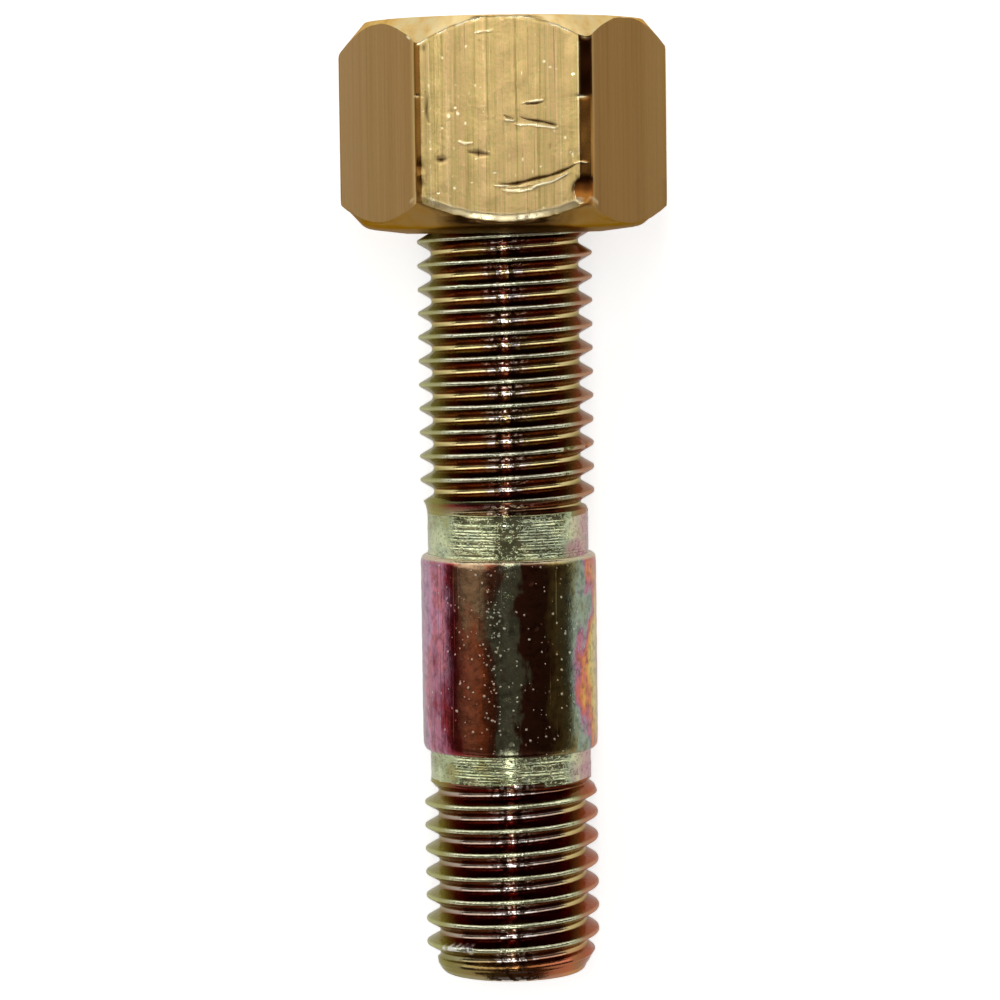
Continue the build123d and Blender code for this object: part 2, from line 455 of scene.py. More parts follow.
# At both sides the film is thick: olive on the left, orange on the right
thick = add(thread_finish, "MapRange", {"Value": sides, "From Min": 2.5, "From Max": 3.1})
side_film = add(thread_finish, "ValToRGB", {"Fac": from_left}, stops=[
    (0.02, "#BCC070"), (0.08, "#A09A38"), (0.15, "#8A7820"), (0.85, "#7E7428"), (0.91, "#B0501C"),
    (0.97, "#D8521E")])  # fmt: skip
on_flank = add(
    thread_finish,
    "MapRange",
    {"Value": depth, "From Min": 0.80, "From Max": 0.90, "To Min": 0.6, "To Max": 0.15},
)
tip_flank = add(thread_finish, "Math", {0: on_tip, 1: 0.25, 2: 1.0}, operation="MULTIPLY_ADD")
on_flank = add(thread_finish, "Math", {0: on_flank, 1: tip_flank}, operation="MULTIPLY")
on_flank = add(thread_finish, "Math", {0: thick, 1: on_flank}, operation="MULTIPLY")

# The scraped crest at the tip shows flaky zinc
scraped = add(thread_finish, "Attribute", output="Fac", attribute_name="marks")
scraped = add(thread_finish, "MapRange", {"Value": scraped, "From Min": -0.2, "From Max": -0.6})
flaky = add(thread_finish, "MapRange", {"Value": specks, "To Min": 0.35, "To Max": 0.95})
scraped = add(thread_finish, "Math", {0: scraped, 1: flaky}, operation="MULTIPLY")

# All of these lie over the colour of the flanks, each over the one before
for share, layer in (
    (on_side, linear("#6C7C40")),
    (runs_out, linear("#A8AC80")),
    (on_tip, tip_film),
    (blunt, blunt_film),
    # painted shade between the glints, then the painted glints
    (between, linear("#3C1610")),
    (painted_glints, linear("#FBF4F0")),
    (on_flank, side_film),
    (scraped, linear("#F2F1E8")),
):
    tinted = add(thread_finish, "Mix", {"Factor": share, 6: tinted, 7: layer}, output=2, data_type="RGBA")

# Less metallic where the film is thick or scraped
metal = add(thread_finish, "Math", {0: on_flank, 1: -0.75, 2: 1.0}, operation="MULTIPLY_ADD")
dulled = add(thread_finish, "Math", {0: scraped, 1: -0.6}, operation="MULTIPLY")
metal = add(thread_finish, "Math", {0: metal, 1: dulled}, operation="ADD")
metal = add(thread_finish, "Math", {0: metal, 1: 0.2}, operation="MAXIMUM")

# The grain of the plate, strongest on the crests.  Real grain is too fine to show, so it is drawn
# about 0.14 mm across.
grain = add(
    thread_finish,
    "TexNoise",
    {"Vector": place, "Scale": 7.0, "Detail": 3.0, "Roughness": 0.6},
    output="Fac",
)
on_crest = add(
    thread_finish,
    "MapRange",
    {"Value": depth, "From Min": 0.04, "From Max": 0.12, "To Min": 1.0, "To Max": 0.36},
)
relief = add(thread_finish, "Math", {0: grain, 1: on_crest}, operation="MULTIPLY")
bump = add(thread_finish, "Bump", {"Height": relief, "Strength": 1.0, "Distance": 0.025 * MM})
shine = add(
    thread_finish,
    "MapRange",
    {"Value": grain, "From Min": 0.3, "From Max": 0.7, "To Min": 0.06, "To Max": 0.16},
)
surface = add(
    thread_finish,
    "BsdfPrincipled",
    {
        "Base Color": tinted,
        "Metallic": metal,
        "Roughness": shine,
        "Normal": bump,
        "Specular Tint": linear("#E4DCC0"),
    },
)
add(thread_finish, "OutputMaterial", {"Surface": surface})

# The same plate on the turned necks: paler and greener, over rings left by the tool.
neck_finish = new_material("chromated_turned_neck")
place = bar_millimetres(neck_finish)
patches = add(
    neck_finish, "TexNoise", {"Vector": place, "Scale": 0.45, "Detail": 4.0, "Roughness": 0.6}, output="Fac"
)
film = add(neck_finish, "ValToRGB", {"Fac": patches}, stops=[
    (0.30, "#B4A878"), (0.40, "#A9A874"), (0.48, "#B9C49A"), (0.55, "#DCE2B4"), (0.62, "#BCC8A6"),
    (0.70, "#A6AC8C")])  # fmt: skip
xyz = add(neck_finish, "SeparateXYZ", {"Vector": place}, output=None)
reddened = add(neck_finish, "Math", {0: patches, 1: 2.2, 2: xyz["X"]}, operation="MULTIPLY_ADD")
reddened = add(
    neck_finish, "MapRange", {"Value": reddened, "From Min": 3.9, "From Max": 4.7, "To Max": 0.7}
)
film = add(
    neck_finish, "Mix", {"Factor": reddened, 6: film, 7: linear("#D2789C")}, output=2, data_type="RGBA"
)

# Rings some 0.08 mm apart, finer than those cut in the shape, which nearly vanish in a streak along
# the top of the upper neck, and small beads of zinc
rings = add(neck_finish, "Mapping", {"Vector": place, "Scale": (1.5, 13.0, 1.5)})
fine_rings = add(neck_finish, "TexNoise", {"Vector": rings, "Scale": 1.0, "Detail": 4.0}, output="Fac")
streak = add(neck_finish, "Math", {0: xyz["X"]}, operation="ABSOLUTE")
streak = add(neck_finish, "MapRange", {"Value": streak, "From Min": 0.50, "From Max": 0.66, "To Min": 0.03})
near_tip = add(neck_finish, "MapRange", {"Value": xyz["Y"], "From Min": 15.0, "From Max": 14.0})
streak = add(neck_finish, "Math", {0: streak, 1: near_tip}, operation="MAXIMUM")
fine_rings = add(neck_finish, "Math", {0: fine_rings, 1: streak}, operation="MULTIPLY")
beads = add(neck_finish, "TexNoise", {"Vector": place, "Scale": 6.0, "Detail": 1.0}, output="Fac")
beads = add(neck_finish, "MapRange", {"Value": beads, "From Min": 0.56, "From Max": 0.66})
fine_rings = add(neck_finish, "Math", {0: beads, 1: 1.6, 2: fine_rings}, operation="MULTIPLY_ADD")
bump = add(neck_finish, "Bump", {"Height": fine_rings, "Strength": 1.0, "Distance": 0.018 * MM})
surface = add(
    neck_finish, "BsdfPrincipled", {"Base Color": film, "Metallic": 1.0, "Roughness": 0.13, "Normal": bump}
)
add(neck_finish, "OutputMaterial", {"Surface": surface})

# The same plate on the ground collar: thick enough to run through violet, copper, green and gold
# in long patches round the bar, smooth and glossy, with small pits and nodules in the zinc.  The
# colours round the bar also hold painted reflection, and the nodules partly painted glints.
collar_finish = new_material("chromated_ground_collar")
place = bar_millimetres(collar_finish)
xyz = add(collar_finish, "SeparateXYZ", {"Vector": place}, output=None)

# How far round the bar each place is, as a share of a turn, shifted by patches 5 mm long and flecks
# 1.4 mm long so that the colours have ragged edges.  On the right they bulge at the middle.
stretched = add(collar_finish, "Mapping", {"Vector": place, "Scale": (0.55, 0.20, 0.55)})
drift = add(
    collar_finish,
    "TexNoise",
    {"Vector": stretched, "Scale": 1.0, "Detail": 4.0, "Roughness": 0.6},
    output="Fac",
)
drift = add(collar_finish, "Math", {0: drift, 1: 0.5}, operation="SUBTRACT")
flecks = add(collar_finish, "Mapping", {"Vector": place, "Scale": (1.6, 0.7, 1.6)})
flecks = add(
    collar_finish,
    "TexNoise",
    {"Vector": flecks, "Scale": 1.0, "Detail": 5.0, "Roughness": 0.65},
    output="Fac",
)
flecks = add(collar_finish, "Math", {0: flecks, 1: 0.5}, operation="SUBTRACT")
sides = add(collar_finish, "Math", {0: xyz["X"]}, operation="ABSOLUTE")
at_side = add(collar_finish, "MapRange", {"Value": sides, "From Min": 2.4, "From Max": 3.2})
sway = add(collar_finish, "MapRange", {"Value": at_side, "To Min": 0.10, "To Max": 0.26})
turn = add(collar_finish, "Math", {0: xyz["X"], 1: xyz["Z"]}, operation="ARCTAN2")
turn = add(collar_finish, "MapRange", {"Value": turn, "From Min": -math.pi, "From Max": math.pi})
turn = add(collar_finish, "Math", {0: drift, 1: sway, 2: turn}, operation="MULTIPLY_ADD")
sway = add(collar_finish, "MapRange", {"Value": at_side, "To Min": 0.07, "To Max": 0.09})
turn = add(collar_finish, "Math", {0: flecks, 1: sway, 2: turn}, operation="MULTIPLY_ADD")
from_middle = add(collar_finish, "Math", {0: xyz["Y"], 1: 13.2}, operation="SUBTRACT")
from_middle = add(collar_finish, "Math", {0: from_middle}, operation="ABSOLUTE")
on_right = add(
    collar_finish, "MapRange", {"Value": xyz["X"], "From Min": 2.4, "From Max": 3.2, "To Max": 0.045}
)
thinner = add(
    collar_finish,
    "MapRange",
    {"Value": from_middle, "From Min": 1.0, "From Max": 3.0, "To Min": 0.7, "To Max": -0.45},
)
turn = add(collar_finish, "Math", {0: thinner, 1: on_right, 2: turn}, operation="MULTIPLY_ADD")
# The film's colours by the share of a turn are partly painted reflection: pale at both sides, where the
# white floor is mirrored, and darkest just right of the top, where the dim room is mirrored
film = add(collar_finish, "ValToRGB", {"Fac": turn}, stops=[
    (0.0, "#C9B08C"), (0.10, "#B8B48A"), (0.20, "#C0748E"), (0.26, "#C2A2B6"), (0.285, "#C08CAA"),
    (0.303, "#D0A2BA"), (0.318, "#D490AC"), (0.336, "#D27C86"), (0.350, "#BC8098"), (0.368, "#A85468"),
    (0.383, "#96303A"), (0.397, "#9A3A34"), (0.408, "#B86A56"), (0.430, "#AC6A50"), (0.450, "#A85A38"),
    (0.458, "#8A4E36"), (0.475, "#7C5642"), (0.484, "#94977A"), (0.512, "#9CA082"), (0.519, "#6A3E2E"),
    (0.562, "#5E3C2C"), (0.586, "#98824C"), (0.612, "#8E8C64"), (0.634, "#A2B098"), (0.650, "#A6B4A4"),
    (0.661, "#C28AA6"), (0.675, "#DC7A72"), (0.689, "#EE9C5C"), (0.708, "#F4CC6C"), (0.735, "#EFE08C"),
    (0.84, "#D79AA6"), (1.0, "#C9B08C")])  # fmt: skip

# A dusty stripe left of the top, towards the nut
dusty = add(collar_finish, "Math", {0: xyz["X"], 1: 1.65}, operation="ADD")
dusty = add(collar_finish, "Math", {0: dusty}, operation="ABSOLUTE")
dusty = add(collar_finish, "MapRange", {"Value": dusty, "From Min": 0.85, "From Max": 0.45, "To Max": 0.65})
towards_nut = add(collar_finish, "Math", {0: flecks, 1: 6.0, 2: xyz["Y"]}, operation="MULTIPLY_ADD")
towards_nut = add(collar_finish, "MapRange", {"Value": towards_nut, "From Min": 15.4, "From Max": 16.8})
dusty = add(collar_finish, "Math", {0: dusty, 1: towards_nut}, operation="MULTIPLY")

# One dark pit, and pale nodules: a few placed ones, and small ones, one to each cell of 0.18 mm at
# most, that crowd just left of the top, where they are partly painted glints of the lamp
marks = add(collar_finish, "Attribute", output="Fac", attribute_name="marks")
pitted = add(collar_finish, "MapRange", {"Value": marks, "From Min": 0.3, "From Max": 0.8, "To Max": 0.9})
pale = add(collar_finish, "MapRange", {"Value": marks, "From Min": -0.2, "From Max": -0.6, "To Max": 0.9})
ragged = add(collar_finish, "TexNoise", {"Vector": place, "Scale": 9.0, "Detail": 1.0}, output="Color")
ragged = add(
    collar_finish, "VectorMath", {0: ragged, 1: (0.07, 0.07, 0.07), 2: place}, operation="MULTIPLY_ADD"
)
cells = add(collar_finish, "TexVoronoi", {"Vector": ragged, "Scale": 5.6}, output=None)
size = add(collar_finish, "SeparateColor", {"Color": cells["Color"]}, output=1)
size = add(collar_finish, "MapRange", {"Value": size, "To Min": 0.15, "To Max": 0.46})
nodules = add(collar_finish, "Math", {0: cells["Distance"], 1: size}, operation="DIVIDE")
nodules = add(
    collar_finish,
    "MapRange",
    {"Value": nodules, "From Min": 0.3, "From Max": 1.0, "To Min": 1.0, "To Max": 0.0},
    interpolation_type="SMOOTHSTEP",
)
column = add(collar_finish, "Math", {0: xyz["X"], 1: 0.76}, operation="ADD")
column = add(collar_finish, "Math", {0: column}, operation="ABSOLUTE")
rarity = add(
    collar_finish,
    "MapRange",
    {"Value": column, "From Min": 0.28, "From Max": 0.50, "To Min": 0.05, "To Max": 0.78},
)
chosen = add(collar_finish, "SeparateColor", {"Color": cells["Color"]})
chosen = add(collar_finish, "Math", {0: chosen, 1: rarity}, operation="SUBTRACT")
chosen = add(collar_finish, "MapRange", {"Value": chosen, "From Max": 0.18})
nodules = add(collar_finish, "Math", {0: nodules, 1: chosen}, operation="MULTIPLY")
pale_nodules_and_glints = add(
    collar_finish, "MapRange", {"Value": nodules, "From Min": 0.1, "From Max": 0.7, "To Max": 0.9}
)
for share, layer in (
    (dusty, linear("#B2A484")),
    (pitted, linear("#20140C")),
    (pale_nodules_and_glints, linear("#F2ECD8")),
):
    film = add(collar_finish, "Mix", {"Factor": share, 6: film, 7: layer}, output=2, data_type="RGBA")
pale = add(collar_finish, "Math", {0: pale_nodules_and_glints, 1: pale}, operation="MAXIMUM")

# Cloudy grain, hairlines along the bar about 0.14 mm apart, and a pale band at the edge nearer the
# nut, partly plate worn bright and partly a painted highlight
grain = add(
    collar_finish,
    "TexNoise",
    {"Vector": place, "Scale": 3.0, "Detail": 6.0, "Roughness": 0.66},
    output="Fac",
)
hairs = add(collar_finish, "Mapping", {"Vector": place, "Scale": (7.0, 0.10, 7.0)})
hairs = add(collar_finish, "TexNoise", {"Vector": hairs, "Scale": 1.0, "Detail": 2.0}, output="Fac")
hairs = add(collar_finish, "MapRange", {"Value": hairs, "From Min": 0.62, "From Max": 0.70, "To Max": 0.5})
grainy = add(collar_finish, "ValToRGB", {"Fac": grain}, stops=[(0.36, 0.42), (0.5, 0.85), (0.62, 1.0)])
film = add(
    collar_finish,
    "Mix",
    {"Factor": 0.8, 6: film, 7: grainy},
    output=2,
    data_type="RGBA",
    blend_type="MULTIPLY",
)
worn_and_highlit_edge = add(
    collar_finish, "MapRange", {"Value": xyz["Y"], "From Min": 18.60, "From Max": 18.70, "To Max": 0.75}
)
film = add(
    collar_finish, "Mix", {"Factor": worn_and_highlit_edge, 6: film, 7: linear("#EADFB8")}, output=2, data_type="RGBA"
)
relief = add(collar_finish, "Math", {0: nodules, 1: 2.0, 2: grain}, operation="MULTIPLY_ADD")
relief = add(collar_finish, "Math", {0: relief, 1: hairs}, operation="ADD")
bump = add(collar_finish, "Bump", {"Height": relief, "Strength": 1.0, "Distance": 0.014 * MM})
dulled = add(collar_finish, "MapRange", {"Value": pale, "To Min": 0.17, "To Max": 0.55})
surface = add(
    collar_finish,
    "BsdfPrincipled",
    {"Base Color": film, "Metallic": 1.0, "Roughness": dulled, "Normal": bump},
)
add(collar_finish, "OutputMaterial", {"Surface": surface})

THREAD, NECK, COLLAR = 0, 1, 2
face_heights = (heights[1:, :-1] + heights[1:, 1:] + heights[:-1, :-1] + heights[:-1, 1:]) / 4
on_collar = (face_heights > COLLAR_BASE - 0.01) & (face_heights < COLLAR_TOP)
turned = (face_heights > 8.78) & (face_heights < 20.66)
stud = turned_skin(
    "stud_plated",
    heights,
    radii,
    np.broadcast_to(angles, heights.shape),
    [thread_finish, neck_finish, collar_finish],
    np.where(on_collar, COLLAR, np.where(turned, NECK, THREAD)),
    {"marks": stud_marks, "facing": facing},
)
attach(stud, "stud")
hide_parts("stud")

# ==================================================================================================
# Nut.  Cut from drawn brass hexagon bar, chamfered at both ends with a domed seat below, drilled
# and tapped to run on the stud.  Its flats keep the bar's drawn lines and have been knocked about.
# ==================================================================================================

# Sizes as the solid has them.  The seat rises outwards at SEAT_SLOPE and turns into the lower chamfer
# on a radius of SEAT_EDGE_CURVE, which starts SEAT_EDGE_RUN before the corner and goes on through
# SEAT_EDGE_TURN.
FLAT_RADIUS = 6.35
NUT_TOP = 42.40
BORE_MOUTH = 4.31
SEAT_EDGE_HEIGHT = 33.336
SEAT_RADIUS = 6.13
SEAT_SLOPE = math.radians(7)
SEAT_EDGE_CURVE = 0.80
SEAT_EDGE_TURN = math.radians(38)
SEAT_EDGE_RUN = 0.2755
BORE_RADIUS = 3.96
FLATS, TURNED = 0, 1

# Outline of the bar, side by side.  Each corner keeps the rounding that the die gave it, and the
# columns are close on the upper flat and beside it, where the knocks are.
CORNERS = [0.70, 0.45, 0.60, 0.50, 0.55, 0.30]
half_flats = (FLAT_RADIUS - np.array(CORNERS)) * math.tan(math.radians(30))
beside = np.array([0.0, 0.08, 0.18, 0.32, 0.50, 0.75])
bar_angles, bar_radii, at_corner = [], [], []
for side, rounding in enumerate(CORNERS):
    low, high = -half_flats[side - 1], half_flats[side]
    if side == 0:
        flat_places = np.arange(low, high, 0.045)
    elif side == 1:
        flat_places = np.concatenate([low + beside, np.linspace(low + 1.1, high, 13)[:-1]])
    elif side == 5:
        flat_places = np.concatenate([np.linspace(low, high - 1.1, 13), high - beside[:0:-1]])
    else:
        flat_places = np.linspace(low, high, 14)[:-1]
    corner = np.radians(np.arange(0, 60, 7.5))
    xs = np.concatenate([flat_places, high + rounding * np.sin(corner)])
    flat_zs = np.full(len(flat_places), FLAT_RADIUS)
    zs = np.concatenate([flat_zs, FLAT_RADIUS - rounding * (1 - np.cos(corner))])
    bar_angles.extend(np.arctan2(xs, zs) + side * np.pi / 3)
    bar_radii.extend(np.hypot(xs, zs))
    at_corner.extend([0.0] * len(flat_places) + [1.0] * len(corner))
at_corner = np.array(at_corner + [at_corner[0]])
bar_angles = np.array(bar_angles + [bar_angles[0] + 2 * np.pi])
bar_radii = np.array(bar_radii + [bar_radii[0]])
flat_across = bar_radii * np.sin(bar_angles)

# Both chamfers were turned slightly off centre, so the arcs they leave on the flats differ
top_centre, top_circle, top_slope = (0.10, 0.17), 6.18, 1.15
seat_centre, seat_slope = (0.12, -0.05), 0.88
upper_circle = top_circle + top_centre[0] * np.sin(bar_angles) + top_centre[1] * np.cos(bar_angles)
upper_circle = np.minimum(upper_circle, bar_radii - 0.05)
teeth = 0.012 * (1 + uneven(21, np.sin(bar_angles) * 40, np.cos(bar_angles) * 40))
upper_arc = NUT_TOP - (bar_radii - upper_circle) * top_slope - teeth
off_centre = seat_centre[0] * np.sin(bar_angles) + seat_centre[1] * np.cos(bar_angles)
lower_arc = SEAT_EDGE_HEIGHT + (bar_radii - SEAT_RADIUS - off_centre) * seat_slope + teeth

# Section of the nut, from the bore's mouth over the seat, up the flats and in over the top
one = np.ones_like(bar_angles)
nut_heights, nut_radii, nut_finish_rows = [], [], []


def nut_row(height, radius, finish):
    """One row of the nut's skin: its height and radius round the bar, and the finish above it."""
    nut_heights.append(height * one)
    nut_radii.append(radius * one)
    nut_finish_rows.append(finish)


# The domed seat and its rounded edge
for radius in (BORE_MOUTH, 4.36, 4.8, 5.3, 5.75):
    nut_row(SEAT_HEIGHT + (radius - BORE_MOUTH) * math.tan(SEAT_SLOPE), radius, TURNED)
start_radius = SEAT_RADIUS - SEAT_EDGE_RUN * math.cos(SEAT_SLOPE)
start_height = SEAT_EDGE_HEIGHT - SEAT_EDGE_RUN * math.sin(SEAT_SLOPE)
for share in np.linspace(0, 1, 7):
    turn = SEAT_SLOPE + share * SEAT_EDGE_TURN
    rise = SEAT_EDGE_CURVE * (math.cos(SEAT_SLOPE) - math.cos(turn))
    spread = SEAT_EDGE_CURVE * (math.sin(turn) - math.sin(SEAT_SLOPE))
    nut_row(start_height + rise, start_radius + spread, TURNED)
seat_rows = len(nut_heights)

# The lower chamfer, and the foot of each flat, rolled over towards it
last_height, last_radius = nut_heights[-1][0], nut_radii[-1][0]
for share in (0.3, 0.7):
    rise = share * (lower_arc - 0.03 - last_height)
    spread = share * (bar_radii - 0.115 - last_radius)
    nut_row(last_height + rise, last_radius + spread, TURNED)
rolled = 1.05 - 0.055 * flat_across**2 + 0.18 * uneven(41, flat_across * 1.5, np.cos(bar_angles))
rolled = np.clip(rolled, 0.15, 1.3)
ROLLED_HEIGHT = 0.31
for up, inward in (
    (-0.035, 0.130), (-0.012, 0.100), (0.012, 0.084), (0.08, 0.062), (0.15, 0.040), (0.21, 0.021),
    (0.26, 0.008), (ROLLED_HEIGHT, 0.0),
):  # fmt: skip
    nut_row(lower_arc + up, bar_radii - inward * rolled, FLATS if up > -0.02 else TURNED)

# The flats, with closer rows where the knocks are, and their rounded upper edge
EDGE_DEPTH = 0.16
flat_start = lower_arc + ROLLED_HEIGHT
flat_rows = [np.linspace(0, 0.28, 66), np.linspace(0.28, 0.43, 22)[1:], np.linspace(0.43, 0.60, 40)[1:]]
flat_rows = np.concatenate([*flat_rows, np.linspace(0.60, 1.0, 52)[1:]])[1:-1]
for share in flat_rows:
    nut_row(flat_start + share * (upper_arc - EDGE_DEPTH - flat_start), bar_radii, FLATS)
for down, inward in (
    (EDGE_DEPTH, 0.0), (0.10, 0.005), (0.03, 0.016), (0.005, 0.024), (-0.012, 0.036), (-0.03, 0.050),
):  # fmt: skip
    nut_row(upper_arc - down, bar_radii - inward, FLATS if down > 0 else TURNED)

# The upper chamfer and the flat top
for share in (0.35, 0.7):
    rise = share * (NUT_TOP - upper_arc - 0.06)
    narrowing = share * (bar_radii - upper_circle - 0.07)
    nut_row(upper_arc + 0.03 + rise, bar_radii - 0.05 - narrowing, TURNED)
for down, inward in ((0.03, -0.012), (0.008, 0.004), (0.0, 0.04)):
    nut_row(NUT_TOP - down, upper_circle - inward, TURNED)
top_edge = upper_circle - 0.04
TOP_SHARES = (0.25, 0.5, 0.75, 0.97, 1.0)
for share in TOP_SHARES:
    nut_row(NUT_TOP, top_edge - share * (top_edge - BORE_MOUTH), TURNED)
top_start = len(nut_heights) - len(TOP_SHARES) - 1

# Bore: tapped in step with the stud's thread and a little larger, with a countersink at both ends
bore_places = np.array([0, 0.060, 0.085, 0.375, 0.40, 0.5 * PITCH])
bore_places = np.concatenate([bore_places, PITCH - bore_places[-2:0:-1]]) / PITCH
bore_heights = helix_heights(SEAT_HEIGHT, NUT_TOP, UPPER_CREST_PHASE, bar_angles, bore_places)[::-1]
phase = bore_heights / PITCH - UPPER_CREST_PHASE - bar_angles / (2 * np.pi)
from_crest = np.abs(phase - np.round(phase)) * PITCH
bore_form = BORE_RADIUS - np.clip(1.732 * (from_crest - 0.066), 0, 0.56)
countersink = BORE_MOUTH - np.minimum(bore_heights - SEAT_HEIGHT, NUT_TOP - bore_heights)
bore_form = np.maximum(bore_form, countersink)
nut_finish_rows += [TURNED] * (len(bore_heights) - 1)
nut_heights = np.concatenate([np.array(nut_heights), bore_heights])
nut_radii = np.concatenate([np.array(nut_radii), bore_form])
nut_around = np.broadcast_to(bar_angles, nut_heights.shape)
nut_across = nut_radii * np.sin(nut_around)

# Knocks on the upper flat.  Strokes are lines of (across, height, width) with a depth, negative where
# metal was raised, and a shade, negative where bright: rubbed metal and painted highlights on the
# raised lips, and positive where dark, with painted shade in the cuts.  Spots are (across, height,
# width, length, depth, shade).
STROKES = [
    ([(-0.25, 35.20, 0.012), (0.20, 35.20, 0.024), (0.51, 35.21, 0.034), (0.89, 35.29, 0.038),
      (1.42, 35.42, 0.038), (1.96, 35.52, 0.036), (2.39, 35.66, 0.036), (2.82, 35.84, 0.030),
      (3.08, 35.98, 0.012)], 0.090, 1.6),
    ([(-0.38, 35.13, 0.020), (-0.10, 35.12, 0.038), (0.22, 35.11, 0.020)], -0.025, -1.5),
    ([(-0.05, 34.94, 0.020), (0.35, 34.90, 0.045), (0.88, 34.91, 0.045), (1.20, 34.98, 0.040),
      (1.42, 35.12, 0.045), (1.69, 35.19, 0.052), (2.01, 35.25, 0.046), (2.28, 35.36, 0.036),
      (2.57, 35.51, 0.026), (2.76, 35.63, 0.010)], -0.035, -1.7),
    ([(0.10, 35.03, 0.030), (0.70, 35.06, 0.060), (1.20, 35.16, 0.030)], -0.020, -0.45),
    ([(-1.22, 41.64, 0.015), (-0.95, 41.67, 0.050), (-0.70, 41.69, 0.025),
      (-0.40, 41.75, 0.030)], -0.008, -1.0),
    ([(0.94, 38.57, 0.012), (1.20, 38.60, 0.028), (1.45, 38.61, 0.034),
      (1.73, 38.66, 0.012)], 0.050, 1.4),
    ([(0.82, 38.61, 0.012), (1.15, 38.68, 0.020), (1.50, 38.73, 0.032),
      (1.72, 38.74, 0.022)], -0.020, -1.6),
    ([(0.80, 38.01, 0.020), (1.13, 37.92, 0.028), (1.72, 37.83, 0.036), (2.00, 37.75, 0.038),
      (2.27, 37.67, 0.012)], 0.065, 1.5),
    ([(0.58, 37.72, 0.032), (0.85, 37.70, 0.046), (1.18, 37.71, 0.034), (1.60, 37.66, 0.046),
      (2.06, 37.57, 0.036), (2.30, 37.55, 0.012)], -0.030, -1.6),
    ([(0.06, 38.11, 0.012), (0.14, 38.05, 0.028), (0.42, 37.96, 0.012)], 0.030, 1.3),
    ([(0.12, 37.92, 0.042), (0.46, 37.87, 0.026)], -0.020, -1.5),
    ([(-1.47, 36.56, 0.040), (-1.10, 36.50, 0.110), (-0.68, 36.44, 0.050)], 0.024, 1.0),
    ([(-1.90, 37.04, 0.055), (-1.65, 36.93, 0.050), (-1.33, 36.97, 0.015)], -0.010, -1.2),
    ([(-3.20, 38.91, 0.020), (-3.26, 38.30, 0.060), (-3.17, 37.85, 0.030)], 0.020, 0.65),
    ([(3.08, 35.35, 0.020), (3.00, 34.95, 0.034), (3.10, 34.50, 0.030),
      (3.40, 34.32, 0.020)], -0.010, -1.1),
    ([(3.03, 36.03, 0.020), (3.30, 36.10, 0.030), (3.57, 36.04, 0.020)], -0.010, -1.0),
    ([(0.57, 33.80, 0.024), (0.60, 38.00, 0.026), (0.58, 41.90, 0.016)], 0.004, 0.55),
    ([(1.08, 33.80, 0.020), (1.08, 38.40, 0.022), (1.10, 41.80, 0.024)], 0.004, 0.55),
    ([(-1.07, 35.40, 0.012), (-1.07, 37.20, 0.024), (-1.06, 38.40, 0.012)], 0.003, 0.50),
    ([(-2.40, 39.40, 0.012), (-2.40, 41.30, 0.024)], 0.003, 0.50),
    ([(-2.72, 39.60, 0.012), (-2.72, 41.20, 0.024)], 0.003, 0.50),
    ([(-3.34, 34.50, 0.080), (-3.32, 37.80, 0.120), (-3.34, 41.20, 0.060)], 0.006, 0.38),
    ([(-3.11, 34.60, 0.030), (-3.12, 38.00, 0.050), (-3.14, 41.20, 0.040)], 0.0, -0.45),
    ([(-2.30, 34.20, 0.030), (-2.30, 39.00, 0.040)], 0.0, -0.40),
    ([(2.46, 34.40, 0.040), (2.46, 40.60, 0.030)], 0.0, -0.40),
    ([(3.22, 36.40, 0.040), (3.24, 41.20, 0.050)], 0.0, -0.55),
]  # fmt: skip
SPOTS = [
    (3.44, 35.34, 0.32, 0.13, 0.03, 1.1), (3.58, 34.90, 0.20, 0.40, 0.0, 0.55),
    (-2.67, 36.25, 0.18, 0.12, 0.035, 1.2), (-3.60, 35.98, 0.14, 0.22, 0.050, 0.9),
    (-3.56, 35.20, 0.13, 0.25, 0.050, 0.6), (-3.70, 34.72, 0.15, 0.20, 0.040, 0.6),
    (3.38, 38.88, 0.20, 0.06, 0.030, -1.0), (-3.70, 38.97, 0.15, 0.05, 0.020, -0.6),
    (2.00, 36.75, 0.06, 0.16, 0.010, 0.5), (-3.40, 38.33, 0.05, 0.06, 0.0, -1.2),
    (-2.17, 38.31, 0.10, 0.10, 0.010, 0.4), (-2.03, 38.46, 0.06, 0.05, 0.0, -1.4),
    (-2.33, 38.12, 0.07, 0.07, 0.0, -1.3), (-1.90, 38.20, 0.08, 0.07, 0.0, -0.9),
    (-1.89, 38.94, 0.04, 0.04, 0.0, -1.0), (-1.17, 39.39, 0.05, 0.04, 0.0, -1.2),
    (-0.95, 39.30, 0.04, 0.04, 0.0, -0.9), (-1.54, 41.06, 0.05, 0.06, 0.0, -1.2),
    (1.78, 40.38, 0.07, 0.05, 0.0, -1.4), (2.04, 40.14, 0.07, 0.04, 0.0, -1.3),
    (2.31, 40.05, 0.05, 0.05, 0.0, -0.8), (3.02, 39.83, 0.08, 0.07, 0.0, -1.3),
    (-1.61, 37.80, 0.05, 0.06, 0.0, -1.3), (-2.60, 37.60, 0.05, 0.05, 0.0, -0.9),
    (2.65, 37.13, 0.06, 0.07, 0.0, -1.1), (1.59, 35.92, 0.05, 0.05, 0.0, -1.1),
    (-2.11, 35.04, 0.06, 0.06, 0.0, -1.4), (-2.80, 34.84, 0.06, 0.05, 0.0, -1.4),
    (-0.38, 35.67, 0.14, 0.03, 0.0, -1.1), (-1.36, 35.27, 0.07, 0.03, 0.0, -0.9),
    (-2.56, 40.60, 0.06, 0.04, 0.0, -0.9), (-1.16, 36.28, 0.06, 0.05, 0.0, -1.0),
    (-0.88, 38.53, 0.18, 0.04, 0.0, -0.5), (2.95, 36.45, 0.12, 0.20, 0.010, -0.5),
    (-3.35, 41.00, 0.10, 0.12, 0.010, 0.5),
]  # fmt: skip

